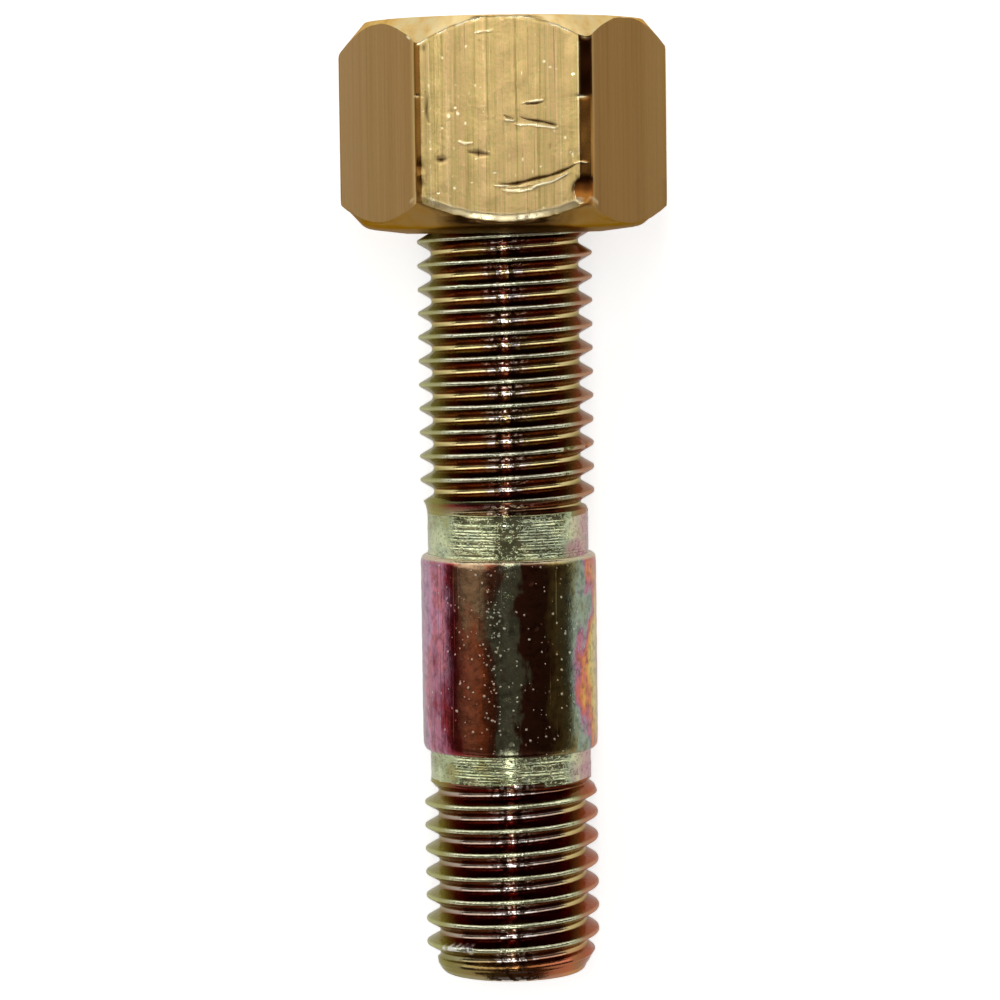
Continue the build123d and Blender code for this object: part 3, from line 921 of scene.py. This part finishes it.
# Small bright and dark specks scattered over the flat
for _ in range(140):
    shade = random.choice([-0.9, -0.5, 0.5], p=[0.3, 0.4, 0.3])
    spot_width = random.uniform(0.018, 0.036)
    spot_length = spot_width * random.choice([0.8, 1.2, 3.0], p=[0.4, 0.3, 0.3])
    spot_place = -3.3 + 6.5 * random.uniform(0, 1) ** 1.6
    SPOTS.append((spot_place, random.uniform(33.9, 42.0), spot_width, spot_length, 0.0, shade))

# How deep each mark sinks into the upper flat, and how dark or bright it is
row_numbers = np.arange(len(nut_heights))[:, None]
between_ends = (row_numbers >= seat_rows) & (row_numbers < top_start)
on_top_flat = between_ends & (nut_radii * np.cos(nut_around) > 5.6)
sunk = np.zeros_like(nut_radii)
nut_marks = np.zeros_like(nut_radii)
for line, depth, shade in STROKES:
    stroke = np.zeros_like(nut_radii)
    for (x0, y0, width0), (x1, y1, width1) in zip(line, line[1:]):
        length = math.hypot(x1 - x0, y1 - y0)
        place_along = ((nut_across - x0) * (x1 - x0) + (nut_heights - y0) * (y1 - y0)) / length
        aside = ((nut_heights - y0) * (x1 - x0) - (nut_across - x0) * (y1 - y0)) / length
        inside = np.clip(place_along, 0, length)
        width = width0 + (width1 - width0) * inside / length
        width = width * (1 + 0.25 * uneven(51, nut_across * 4, nut_heights))
        away = np.minimum(np.hypot(aside, place_along - inside) / np.maximum(width, 0.008), 6)
        stroke = np.maximum(stroke, np.exp(-(away**2)))
    sunk += depth * stroke
    nut_marks += shade * stroke
for x, y, width, length, depth, shade in SPOTS:
    away = ((nut_across - x) / width) ** 2 + ((nut_heights - y) / length) ** 2
    spot = np.exp(-np.minimum(away, 40))
    sunk += depth * spot
    nut_marks += shade * spot

# A round blow on the right corner near the seat, and painted highlights along the arcs that both
# chamfers leave on the flat: a broken line at the upper arc and two bands above the lower one
blow = 1 - ((nut_across - 3.35) / 0.43) ** 2 - ((nut_heights - 34.88) / 0.56) ** 2
blow = np.clip(blow, 0, 1)
sunk += 0.15 * blow + 0.003 * (1 + uneven(31, nut_across * 2.2, nut_heights * 1.6))
broken = np.clip(0.55 + 0.9 * uneven(61, nut_across * 3.2, nut_heights), 0, 1.3)
nut_marks -= 1.3 * broken * np.exp(-(((nut_heights - upper_arc + 0.035) / 0.055) ** 2))
nut_marks -= 0.8 * rolled * np.exp(-(((nut_heights - lower_arc - 0.12) / 0.12) ** 2))
nut_marks -= 0.45 * np.exp(-(((nut_heights - lower_arc - 0.30) / 0.12) ** 2))
nut_radii = nut_radii - on_top_flat * sunk
nut_marks = nut_marks * on_top_flat
unmarked = 1 - np.clip(-nut_marks, 0, 1)
nut_corners = np.maximum(at_corner * unmarked, on_top_flat * np.clip(blow * 4, 0, 1))

# Drawn brass: soft gold with long lines from the die along the bar, in paler and greyer tones,
# and bright specks where high spots have been burnished.
drawn_brass = new_material("drawn_brass_flats")
place = bar_millimetres(drawn_brass)
xyz = add(drawn_brass, "SeparateXYZ", {"Vector": place}, output=None)

# Streaks from the die about 0.2 mm wide and hairlines of 0.09 mm, all along the bar, and a faint
# mottle
long_grain = add(drawn_brass, "Mapping", {"Vector": place, "Scale": (1.0, 0.012, 1.0)})
broad = add(drawn_brass, "TexNoise", {"Vector": long_grain, "Scale": 1.3, "Detail": 2.0}, output="Fac")
streaks = add(
    drawn_brass,
    "TexNoise",
    {"Vector": long_grain, "Scale": 5.0, "Detail": 5.0, "Roughness": 0.7},
    output="Fac",
)
tone = add(drawn_brass, "ValToRGB", {"Fac": streaks}, stops=[
    (0.30, "#A28E54"), (0.42, "#C4AC6C"), (0.50, "#D4BA78"), (0.58, "#DAB880"),
    (0.70, "#F0DA9C")])  # fmt: skip
hairlines = add(drawn_brass, "TexNoise", {"Vector": long_grain, "Scale": 11.0, "Detail": 1.0}, output="Fac")
hair = add(drawn_brass, "MapRange", {"Value": hairlines, "From Min": 0.66, "From Max": 0.74, "To Max": 0.5})
mottle = add(
    drawn_brass, "TexNoise", {"Vector": place, "Scale": 5.0, "Detail": 3.0, "Roughness": 0.7}, output="Fac"
)
warm_cloud = add(
    drawn_brass, "MapRange", {"Value": mottle, "From Min": 0.45, "From Max": 0.75, "To Max": 0.35}
)
green_cloud = add(
    drawn_brass, "MapRange", {"Value": mottle, "From Min": 0.50, "From Max": 0.25, "To Max": 0.45}
)

# The side flats are painted browner and darker as shade, and the rounded corners are painted darker
# as shade, most of all the right one, whose upper part is nearly black
sideways = add(drawn_brass, "Math", {0: xyz["X"]}, operation="ABSOLUTE")
shaded_side_flat = add(
    drawn_brass, "MapRange", {"Value": sideways, "From Min": 3.75, "From Max": 3.95, "To Max": 0.8}
)
turned_away = add(drawn_brass, "MapRange", {"Value": xyz["X"], "From Min": -7.4, "From Max": 7.4})
shaded_side_tone = add(drawn_brass, "ValToRGB", {"Fac": turned_away}, stops=[
    (0.0, "#A88662"), (0.13, "#9B7750"), (0.24, "#99734A"), (0.50, "#957146"), (0.76, "#8B6038"),
    (0.91, "#8A6038"), (1.0, "#9C784E")])  # fmt: skip
corner = add(drawn_brass, "Attribute", output="Fac", attribute_name="corners")
up_corner = add(drawn_brass, "MapRange", {"Value": xyz["Y"], "From Min": 33.5, "From Max": 42.5})
right_corner_shade = add(drawn_brass, "ValToRGB", {"Fac": up_corner}, stops=[
    (0.09, "#C48438"), (0.17, "#A0602A"), (0.198, "#3A1A0A"), (0.212, "#3A1A0A"), (0.235, "#9C6C34"),
    (0.39, "#B4803E"), (0.567, "#8E5E2A"), (0.60, "#7A4C1E"), (0.615, "#301608"),
    (1.0, "#301608")])  # fmt: skip
on_right = add(drawn_brass, "MapRange", {"Value": xyz["X"], "From Min": -1.0, "From Max": 1.0})
shaded_corner_tone = add(
    drawn_brass,
    "Mix",
    {"Factor": on_right, 6: linear("#745022"), 7: right_corner_shade},
    output=2,
    data_type="RGBA",
)
upmost = add(drawn_brass, "MapRange", {"Value": xyz["Z"], "From Min": 1.0, "From Max": 3.0})
shaded_corner_tone = add(
    drawn_brass, "Mix", {"Factor": upmost, 6: linear("#9C7844"), 7: shaded_corner_tone}, output=2, data_type="RGBA"
)

# Darker in the marks, with painted shade in the cuts, and brighter where metal was rubbed, with
# painted highlights on the raised lips and along the arcs of both chamfers
marks = add(drawn_brass, "Attribute", output="Fac", attribute_name="marks")
dark_marks_and_shade = add(drawn_brass, "MapRange", {"Value": marks, "From Min": 0.2, "From Max": 1.1, "To Max": 0.92})
rubbed_and_highlit = add(drawn_brass, "MapRange", {"Value": marks, "From Min": -0.2, "From Max": -0.9, "To Max": 0.95})

# All of these lie over the streaks, each over the one before
for share, layer in (
    (hair, linear("#7A5F30")),
    (warm_cloud, linear("#D8AC7E")),
    (green_cloud, linear("#AAA468")),
    (shaded_side_flat, shaded_side_tone),
    (corner, shaded_corner_tone),
    (dark_marks_and_shade, linear("#3A1C0A")),
    (rubbed_and_highlit, linear("#FFF3C8")),
):
    tone = add(drawn_brass, "Mix", {"Factor": share, 6: tone, 7: layer}, output=2, data_type="RGBA")

# The corners are smoother than the flats, and shinier except near the seat
dull = add(
    drawn_brass,
    "MapRange",
    {"Value": broad, "From Min": 0.3, "From Max": 0.7, "To Min": 0.32, "To Max": 0.42},
)
polished = add(
    drawn_brass,
    "MapRange",
    {"Value": up_corner, "From Min": 0.20, "From Max": 0.22, "To Min": 0.05, "To Max": -0.20},
)
dull = add(drawn_brass, "Math", {0: corner, 1: polished, 2: dull}, operation="MULTIPLY_ADD")
dull = add(drawn_brass, "Math", {0: rubbed_and_highlit, 1: -0.10, 2: dull}, operation="MULTIPLY_ADD")
relief = add(drawn_brass, "Math", {0: streaks, 1: 0.6, 2: mottle}, operation="MULTIPLY_ADD")
smooth = add(drawn_brass, "MapRange", {"Value": corner, "To Min": 1.0, "To Max": 0.1})
relief = add(drawn_brass, "Math", {0: relief, 1: smooth}, operation="MULTIPLY")
bump = add(drawn_brass, "Bump", {"Height": relief, "Strength": 0.6, "Distance": 0.014 * MM})
surface = add(
    drawn_brass,
    "BsdfPrincipled",
    {
        "Base Color": tone,
        "Metallic": 1.0,
        "Roughness": dull,
        "Normal": bump,
        "Specular Tint": linear("#EEDDBE"),
    },
)
add(drawn_brass, "OutputMaterial", {"Surface": surface})

# Turned brass: the chamfers, ends and bore, cleaner and yellower, with rings from the tool about
# 0.11 mm apart.
turned_brass = new_material("turned_brass_ends")
place = bar_millimetres(turned_brass)
xyz = add(turned_brass, "SeparateXYZ", {"Vector": place}, output=None)
flat_place = add(turned_brass, "CombineXYZ", {"X": xyz["X"], "Z": xyz["Z"]})
radius = add(turned_brass, "VectorMath", {0: flat_place}, output="Value", operation="LENGTH")
ring_place = add(turned_brass, "CombineXYZ", {"X": radius, "Y": xyz["Y"], "Z": 0.0})
rings = add(turned_brass, "TexNoise", {"Vector": ring_place, "Scale": 9.0, "Detail": 2.0}, output="Fac")
blotches = add(turned_brass, "TexNoise", {"Vector": place, "Scale": 1.2, "Detail": 4.0}, output="Fac")
tone = add(turned_brass, "ValToRGB", {"Fac": blotches}, stops=[
    (0.35, "#F0C47A"), (0.5, "#FFDE98"), (0.65, "#FFEAB2")])  # fmt: skip

# Browner towards the seat, with a painted shadow over the middle of it, next to the stud
seat_end = add(
    turned_brass, "MapRange", {"Value": xyz["Y"], "From Min": 38.0, "From Max": 35.0, "To Max": 0.9}
)
sideways = add(turned_brass, "Math", {0: xyz["X"]}, operation="ABSOLUTE")
shadow_under_nut = add(turned_brass, "Math", {0: blotches, 1: 2.0, 2: sideways}, operation="MULTIPLY_ADD")
shadow_under_nut = add(turned_brass, "MapRange", {"Value": shadow_under_nut, "From Min": 4.2, "From Max": 2.8, "To Max": 0.85})
shadow_under_nut = add(turned_brass, "Math", {0: shadow_under_nut, 1: seat_end}, operation="MULTIPLY")
for share, layer in (
    (seat_end, linear("#926A30")),
    (shadow_under_nut, linear("#2E1208")),
):
    tone = add(turned_brass, "Mix", {"Factor": share, 6: tone, 7: layer}, output=2, data_type="RGBA")
bump = add(turned_brass, "Bump", {"Height": rings, "Strength": 0.7, "Distance": 0.01 * MM})
surface = add(
    turned_brass,
    "BsdfPrincipled",
    {
        "Base Color": tone,
        "Metallic": 1.0,
        "Roughness": 0.30,
        "Normal": bump,
        "Specular Tint": linear("#D8B880"),
    },
)
add(turned_brass, "OutputMaterial", {"Surface": surface})

nut = turned_skin(
    "nut_brass",
    nut_heights,
    nut_radii,
    nut_around,
    [drawn_brass, turned_brass],
    np.array(nut_finish_rows)[:, None],
    {"marks": nut_marks, "corners": nut_corners},
)
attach(nut, "nut")
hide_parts("nut")

# ==================================================================================================
# Floor.  A wide sheet of matt white card that the pair lies on.  It keeps a soft shadow.
# ==================================================================================================

card = new_material("matt_white_card")
ray = add(card, "LightPath", output=None)
paper = add(card, "BsdfDiffuse", {"Color": linear("#F4F3F0")})
lit_for_camera = add(card, "Math", {0: ray["Is Camera Ray"], 1: 0.60}, operation="MULTIPLY")
lit = add(card, "Math", {0: ray["Is Glossy Ray"], 1: 0.12, 2: lit_for_camera}, operation="MULTIPLY_ADD")
glow = add(card, "Emission", {"Color": (1, 1, 1, 1), "Strength": lit})
both = add(card, "AddShader", {0: paper, 1: glow})
add(card, "OutputMaterial", {"Surface": both})
mesh = bpy.data.meshes.new("floor")
card_corners = [(x, y, -0.02 * MM) for x, y in ((-2, -2), (2, -2), (2, 2), (-2, 2))]
mesh.from_pydata(card_corners, [], [(0, 1, 2, 3)])
mesh.materials.append(card)
floor = bpy.data.objects.new("floor", mesh)
bpy.context.scene.collection.objects.link(floor)

# ==================================================================================================
# Light.  A small lamp close overhead, soft lamps at both sides and ends, and a dim room.
# ==================================================================================================

centre = (cad_low + cad_high) / 2


def lamp(name, place, width, length, radiance, tint="#FFFFFF"):
    """A soft lamp facing the object: its width goes round the bar and its length along it."""
    data = bpy.data.lights.new(name, "AREA")
    data.shape = "RECTANGLE"
    data.size, data.size_y = width, length
    data.energy = radiance * width * length * math.pi
    data.color = linear(tint)[:3]
    light = bpy.data.objects.new(name, data)
    outward = Vector(place).normalized()
    sideways = along.cross(outward).normalized()
    facing = Matrix((sideways, outward.cross(sideways), outward)).transposed()
    light.matrix_world = Matrix.Translation(centre + Vector(place)) @ facing.to_4x4()
    bpy.context.scene.collection.objects.link(light)


def above(turn, tilt, distance):
    """A place seen from the object at an angle round the bar from the top, and tilted along the bar."""
    turn, tilt = math.radians(turn), math.radians(tilt)
    level = across * math.sin(turn) + upward * math.cos(turn)
    return (level * math.cos(tilt) + along * math.sin(tilt)) * distance


ARCH_DISTANCE = 0.32
ARCH_STEP = 37.0
HEAD_TILT = 32
FOOT_TILT = -34
arch_width = 2 * ARCH_DISTANCE * math.tan(math.radians(ARCH_STEP / 2))
for side, name, low, strength in ((-1, "left", 3, 1.0), (1, "right", 7, 0.85)):
    for step, share in ((0, 1.0), (1, 0.95)):
        turn = side * (16 + ARCH_STEP * (step + 0.5))
        tilt = (low + HEAD_TILT) / 2
        length = 2 * ARCH_DISTANCE * math.tan(math.radians((HEAD_TILT - low) / 2))
        lamp(
            f"head_arch_{name}_{step}",
            above(turn, tilt, ARCH_DISTANCE),
            arch_width,
            length,
            1.5 * strength * share,
        )
        lamp(
            f"foot_arch_{name}_{step}",
            above(turn, FOOT_TILT, ARCH_DISTANCE),
            arch_width,
            0.08,
            0.2 * strength,
        )
lamp("spot", above(-1, 16, ARCH_DISTANCE), 0.032, 0.13, 8.0)
lamp("head_middle", above(-1, 41, ARCH_DISTANCE), 0.05, 0.07, 2.0)
lamp("foot_middle", above(-1, FOOT_TILT, ARCH_DISTANCE), 0.05, 0.12, 4.0)
lamp("left_softbox", above(-49, -5, ARCH_DISTANCE), 0.17, 0.09, 0.30, "#FFE9D0")
lamp("head_end_softbox", above(0, 84, 0.45), 0.60, 0.12, 1.35)

world = bpy.data.worlds.new("dim_room")
bpy.context.scene.world = world
world.use_nodes = True
world.node_tree.nodes.clear()
ray = add(world, "LightPath", output=None)
room = add(
    world,
    "Mix",
    {"Factor": ray["Is Glossy Ray"], 6: linear("#7C7C7C"), 7: linear("#544C46")},
    output=2,
    data_type="RGBA",
)
seen = add(
    world, "Mix", {"Factor": ray["Is Camera Ray"], 6: room, 7: (1, 1, 1, 1)}, output=2, data_type="RGBA"
)
add(world, "OutputWorld", {"Surface": add(world, "Background", {"Color": seen, "Strength": 1.0})})

# ==================================================================================================
# Camera.  Straight above the middle of the object, close enough to show some perspective.
# ==================================================================================================

camera_data = bpy.data.cameras.new("camera")
camera_data.lens = 133.1
camera_data.sensor_width = 36.0
camera = bpy.data.objects.new("camera", camera_data)
camera.location = (-0.34 * MM, -0.1465 * MM, 170.80 * MM)
camera.rotation_euler = (0, 0, math.radians(-0.76))
bpy.context.scene.collection.objects.link(camera)
bpy.context.scene.camera = camera
bpy.context.scene.view_settings.view_transform = "Standard"
